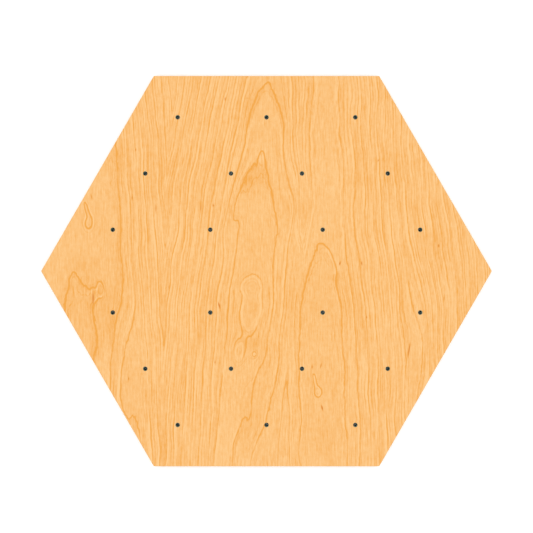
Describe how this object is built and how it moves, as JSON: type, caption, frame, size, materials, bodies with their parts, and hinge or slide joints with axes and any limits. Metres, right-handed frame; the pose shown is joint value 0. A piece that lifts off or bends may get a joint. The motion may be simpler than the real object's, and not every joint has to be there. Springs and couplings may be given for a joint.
{
  "type": "hexagonal game board panel",
  "caption": "Flat hexagonal plywood game board with rows of metal-lined peg holes, built up from crossed plies.",
  "frame": {"origin": "middle of the back face, at the bottom of the bounding box", "axes": "+Z out of the face, X from corner to corner, Y along the grain, from edge to edge"},
  "size_m": [0.7622, 0.66, 0.012],
  "materials": {
    "face_veneer": "satin lacquer",
    "back_veneer": "sanded, unfinished",
    "core_light": "sawn, long grain",
    "core_dark": "sawn, end grain",
    "tee_nut": "dull zinc plate"
  },
  "bodies": {
    "root": {"back_veneer": "back_veneer", "core_ply_1": "core_dark", "core_ply_2": "core_light", "core_ply_3": "core_dark", "core_ply_4": "core_light", "core_ply_5": "core_dark", "core_ply_6": "core_light", "core_ply_7": "core_dark", "face_veneer": "face_veneer", "tee_nut_01": "tee_nut", "tee_nut_02": "tee_nut", "tee_nut_03": "tee_nut", "tee_nut_04": "tee_nut", "tee_nut_05": "tee_nut", "tee_nut_06": "tee_nut", "tee_nut_07": "tee_nut", "tee_nut_08": "tee_nut", "tee_nut_09": "tee_nut", "tee_nut_10": "tee_nut", "tee_nut_11": "tee_nut", "tee_nut_12": "tee_nut", "tee_nut_13": "tee_nut", "tee_nut_14": "tee_nut", "tee_nut_15": "tee_nut", "tee_nut_16": "tee_nut", "tee_nut_17": "tee_nut", "tee_nut_18": "tee_nut", "tee_nut_19": "tee_nut", "tee_nut_20": "tee_nut", "tee_nut_21": "tee_nut", "tee_nut_22": "tee_nut"}
  },
  "joints": []
}
